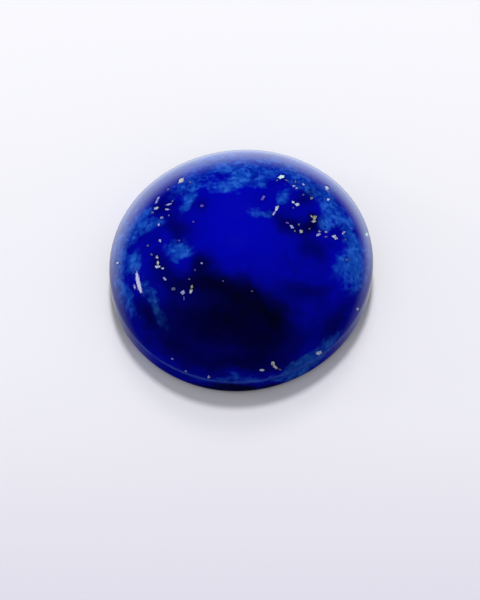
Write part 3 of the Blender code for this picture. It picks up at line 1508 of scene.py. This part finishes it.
@dataclass(frozen=True)
class LappedBack:
    """Ground back of the stone, the same rock with a fine matt lap.

    Attributes:
        finish: Polished rock that the back is ground from.
        haze: Colour of the ground surface's haze.
        haze_noise: Unevenness of the haze.
        haze_step: Share of the haze that it leaves.
        rough_noise: Unevenness of the lap.
        rough_step: Roughness of the lap.
        lap_noise: Scratches and pits of the lap.
        lap_depth: Their depth.
    """

    finish: LapisPolish
    haze: Colour = (0.10, 0.16, 0.34)
    haze_noise: Mottle = Mottle(1.4, 6.0, 0.7)
    haze_step: Step = Step(0.35, 0.7, 0.15, 0.5)
    rough_noise: Mottle = Mottle(6.0, 2.0)
    rough_step: Step = Step(0.3, 0.7, 0.55, 0.7)
    lap_noise: Mottle = Mottle(22.0, 4.0, 0.7)
    lap_depth: float = 0.006

    def make(self) -> bpy.types.Material:
        """Make the material of the flat back."""
        sheet = NodeSheet("lapped_lapis")
        colour, _ = self.finish.rock(sheet)
        haze = sheet.ramp(sheet.noise(self.haze_noise), self.haze_step)
        sheet.feed(sheet.shader.inputs["Base Color"], sheet.mix(haze, colour, self.haze))
        rough = sheet.ramp(sheet.noise(self.rough_noise), self.rough_step)
        sheet.feed(sheet.shader.inputs["Roughness"], rough)
        sheet.bump(sheet.noise(self.lap_noise), self.lap_depth)
        return sheet.material


@dataclass(frozen=True)
class PyriteMetal:
    """Polished pyrite: pale grains with a slight metal sheen and darker pits, coloured with
    painted glints and painted shade.

    Attributes:
        pit: Tarnish in the pits.
        metallic: Strength of the metal sheen.
        pit_noise: Where the pits are.
        pit_step: Share of tarnish in them.
        rough_noise: Unevenness of the metal.
        rough_step: Roughness of the metal.
    """

    pit: Colour = (0.03, 0.03, 0.09)
    metallic: float = 0.2
    pit_noise: Mottle = Mottle(7.0, 3.0, 0.6)
    pit_step: Step = Step(0.50, 0.66, 0.0, 0.75)
    rough_noise: Mottle = Mottle(7.0, 2.0)
    rough_step: Step = Step(0.3, 0.7, 0.34, 0.5)

    def make(self) -> bpy.types.Material:
        """Make the material of the grains."""
        sheet = NodeSheet("polished_pyrite")
        pits = sheet.ramp(sheet.noise(self.pit_noise), self.pit_step)
        # The grains' tones hold painted glints and painted shade.
        colour = sheet.mix(pits, sheet.colours("tone"), self.pit)
        sheet.feed(sheet.shader.inputs["Base Color"], colour)
        sheet.shader.inputs["Metallic"].default_value = self.metallic
        rough = sheet.ramp(sheet.noise(self.rough_noise), self.rough_step)
        sheet.feed(sheet.shader.inputs["Roughness"], rough)
        return sheet.material


@dataclass(frozen=True)
class SoftLamp:
    """A soft studio lamp, turned towards the stone.

    Attributes:
        name: Name of the lamp.
        bearing: Bearing from the stone, in degrees from straight behind it.
        elevation: Height over the table, in degrees.
        distance: Distance from the stone.
        width: Width of the lamp.
        depth: Depth of the lamp.
        watts: Its power.
        colour: Its colour.
        mirrored: Whether the polish shows the lamp itself.
    """

    name: str
    bearing: float
    elevation: float
    distance: float
    width: float
    depth: float
    watts: float
    colour: Colour = (1.0, 1.0, 1.0)
    mirrored: bool = False

    def hang(self) -> bpy.types.Object:
        """Hang the lamp.

        Returns:
            The lamp.
        """
        data = bpy.data.lights.new(self.name, "AREA")
        data.shape = "ELLIPSE"
        data.size, data.size_y = self.width * MM, self.depth * MM
        data.energy = self.watts
        data.color = self.colour
        lamp = bpy.data.objects.new(self.name, data)
        side, tilt = math.radians(self.bearing), math.radians(self.elevation)
        out = Vector((
            -math.sin(side) * math.cos(tilt), math.cos(side) * math.cos(tilt), math.sin(tilt),
        ))
        turn = (-out).to_track_quat("-Z", "Y").to_matrix()
        lamp.matrix_world = Matrix.LocRotScale(out * self.distance * MM, turn, None)
        lamp.visible_glossy = self.mirrored
        bpy.context.scene.collection.objects.link(lamp)
        return lamp


@dataclass(frozen=True)
class Glow:
    """Light of one part of the room.

    Attributes:
        colour: Its colour.
        strength: Its strength.
    """

    colour: Colour
    strength: float


@dataclass(frozen=True)
class Fade:
    """A change of the room's light with direction.

    Attributes:
        weights: Weights of a direction's right, back and up parts.
        low: Weighed sum of them at which the change starts.
        high: Sum at which it ends.
    """

    weights: tuple[float, float, float]
    low: float
    high: float


class RoomSheet:
    """The room's nodes, with a short call for each kind that is used here."""

    def __init__(self) -> None:
        """Give the scene a world with no light in it yet."""
        world = bpy.data.worlds.new("room")
        world.use_nodes = True
        bpy.context.scene.world = world
        self.tree = world.node_tree
        self.tree.nodes.clear()
        self.direction = self.tree.nodes.new("ShaderNodeTexCoord").outputs["Generated"]
        self.rays = self.tree.nodes.new("ShaderNodeLightPath").outputs

    def fade(self, fade: Fade) -> bpy.types.NodeSocket:
        """Follow a change with direction.

        Args:
            fade: The change.

        Returns:
            Its share, from 0 to 1.
        """
        weigh = self.tree.nodes.new("ShaderNodeVectorMath")
        weigh.operation = "DOT_PRODUCT"
        self.tree.links.new(self.direction, weigh.inputs[0])
        weigh.inputs[1].default_value = fade.weights
        step = self.tree.nodes.new("ShaderNodeMapRange")
        step.interpolation_type = "SMOOTHSTEP"
        self.tree.links.new(weigh.outputs["Value"], step.inputs[0])
        step.inputs[1].default_value = fade.low
        step.inputs[2].default_value = fade.high
        return step.outputs[0]

    def glow(self, glow: Glow) -> bpy.types.NodeSocket:
        """Light one part of the room.

        Args:
            glow: Its light.

        Returns:
            The lit part.
        """
        node = self.tree.nodes.new("ShaderNodeBackground")
        node.inputs["Color"].default_value = (*glow.colour, 1.0)
        node.inputs["Strength"].default_value = glow.strength
        return node.outputs[0]

    def mix(
        self,
        share: bpy.types.NodeSocket,
        first: bpy.types.NodeSocket,
        second: bpy.types.NodeSocket,
    ) -> bpy.types.NodeSocket:
        """Mix two parts of the room.

        Args:
            share: Share of the second part.
            first: First part.
            second: Second part.

        Returns:
            The mixed part.
        """
        node = self.tree.nodes.new("ShaderNodeMixShader")
        for target, value in zip(node.inputs, (share, first, second)):
            self.tree.links.new(value, target)
        return node.outputs[0]


@dataclass(frozen=True)
class Room:
    """Room round the table: as the polish mirrors it, as it lights, and as it shows.

    Attributes:
        dark: Mirrored room in front and overhead.
        wall: Mirrored pale wall, low behind the stone.
        near_table: Mirrored table close behind the stone.
        dome: Even light that falls on the rock and the table.
        shown: What shows past the table's edge.
        low: Where the mirrored wall starts, on its way down.
        behind: Where it starts, on its way back.
        grazing: Where the wall gives way to the table.
    """

    dark: Glow = Glow((0.6, 0.7, 1.0), 0.010)
    wall: Glow = Glow((0.85, 0.97, 1.0), 1.9)
    near_table: Glow = Glow((0.94, 0.95, 1.0), 0.80)
    dome: Glow = Glow((0.97, 0.98, 1.0), 0.41)
    shown: Glow = Glow((0.91, 0.90, 0.95), 1.0)
    low: Fade = Fade((0.08, -0.40, 1.0), -0.15, -0.60)
    behind: Fade = Fade((0.0, 1.0, 0.0), -0.15, 0.85)
    grazing: Fade = Fade((0.0, 0.0, 1.0), -0.50, -0.82)

    def hang(self) -> None:
        """Surround the stone with the room."""
        sheet = RoomSheet()
        dark = sheet.glow(self.dark)
        low, behind = sheet.fade(self.low), sheet.fade(self.behind)
        wall = sheet.mix(
            sheet.fade(self.grazing), sheet.glow(self.wall), sheet.glow(self.near_table)
        )
        mirrored = sheet.mix(low, dark, sheet.mix(behind, dark, wall))
        room = sheet.mix(sheet.rays["Is Glossy Ray"], sheet.glow(self.dome), mirrored)
        whole = sheet.mix(sheet.rays["Is Camera Ray"], room, sheet.glow(self.shown))
        output = sheet.tree.nodes.new("ShaderNodeOutputWorld")
        sheet.tree.links.new(whole, output.inputs["Surface"])


WINDOW_TINT = (0.90, 0.97, 1.0)


@dataclass
class Studio:
    """Pale table, soft lamps and the room round them.

    Attributes:
        table_radius: Radius of the table.
        table_sides: Number of sides that stand for its round edge.
        table_back: Colour of the table behind the stone.
        table_middle: Colour of the table under the stone.
        table_front: Colour of the table in front of it.
        front_step: Places over which it takes its front colour.
        back_step: Places over which it takes its back colour.
        table_roughness: Roughness of the table.
        table_specular: Strength of its sheen.
        room: The room.
        lamps: The lamps.
    """

    table_radius: float = 900.0
    table_sides: int = 96
    table_back: Colour = (0.872, 0.868, 0.900)
    table_middle: Colour = (0.852, 0.844, 0.894)
    table_front: Colour = (0.735, 0.710, 0.805)
    front_step: Step = Step(-3.0, -27.0)
    back_step: Step = Step(-3.0, 18.0)
    table_roughness: float = 0.85
    table_specular: float = 0.1
    room: Room = Room()
    lamps: tuple[SoftLamp, ...] = (
        SoftLamp("key_lamp", 0.0, 65.0, 400.0, 66.0, 66.0, 0.80),
        SoftLamp("back_lamp", 0.0, 47.0, 400.0, 110.0, 110.0, 0.26),
        SoftLamp("top_lamp", 180.0, 85.0, 500.0, 300.0, 300.0, 0.16),
        SoftLamp("window_lamp", 83.0, 21.0, 400.0, 96.0, 36.0, 0.10, WINDOW_TINT, True),
        SoftLamp("low_window", 84.5, 14.0, 400.0, 14.0, 22.0, 0.006, WINDOW_TINT, True),
    )

    def table_material(self) -> bpy.types.Material:
        """Make the table pale, darker towards the front and a little lighter behind the stone."""
        sheet = NodeSheet("pale_table")
        split = sheet.tree.nodes.new("ShaderNodeSeparateXYZ")
        sheet.feed(split.inputs[0], sheet.place)
        front = sheet.ramp(split.outputs["Y"], self.front_step)
        back = sheet.ramp(split.outputs["Y"], self.back_step)
        colour = sheet.mix(front, self.table_middle, self.table_front)
        colour = sheet.mix(back, colour, self.table_back)
        sheet.feed(sheet.shader.inputs["Base Color"], colour)
        sheet.shader.inputs["Roughness"].default_value = self.table_roughness
        sheet.shader.inputs["Specular IOR Level"].default_value = self.table_specular
        return sheet.material

    def lay_table(self) -> bpy.types.Object:
        """Lay the table's plain pale top under the stone.

        Returns:
            The table.
        """
        turns = [math.tau * side / self.table_sides for side in range(self.table_sides)]
        radius = self.table_radius * MM
        ring = [(radius * math.cos(turn), radius * math.sin(turn), 0.0) for turn in turns]
        mesh = bpy.data.meshes.new("table")
        mesh.from_pydata(ring, [], [list(range(self.table_sides))])
        mesh.materials.append(self.table_material())
        table = bpy.data.objects.new("table", mesh)
        table.visible_glossy = False
        bpy.context.scene.collection.objects.link(table)
        return table

    def build(self) -> None:
        """Set the whole studio up."""
        self.lay_table()
        self.room.hang()
        for lamp in self.lamps:
            lamp.hang()
        bpy.context.scene.view_settings.view_transform = "Standard"


def main() -> None:
    """Build the stone and the studio, and report each."""
    logging.basicConfig(level=logging.INFO, format="%(name)s: %(message)s")
    view = PictureView()
    view.make_camera()
    form = StoneForm(*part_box(NODE))
    LOG.info("form: reach %.2f mm, height %.2f mm, fit %s", form.reach, form.height, form.fit)

    grains = PyriteScatter(form, view).grains()
    LOG.info("pyrite: %d grains for %d flecks and the hidden side", len(grains), len(SEEN_FLECKS))

    stone = StoneSkin(form, view, grains).build()
    polish = LapisPolish()
    for finish in (polish, PyriteMetal(), LappedBack(polish)):
        stone.data.materials.append(finish.make())
    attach(stone, BODY)
    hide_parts(NODE)
    LOG.info("stone: %d faces", len(stone.data.polygons))

    Studio().build()
    LOG.info("studio: table, room and lamps")


if __name__ == "__main__":
    main()
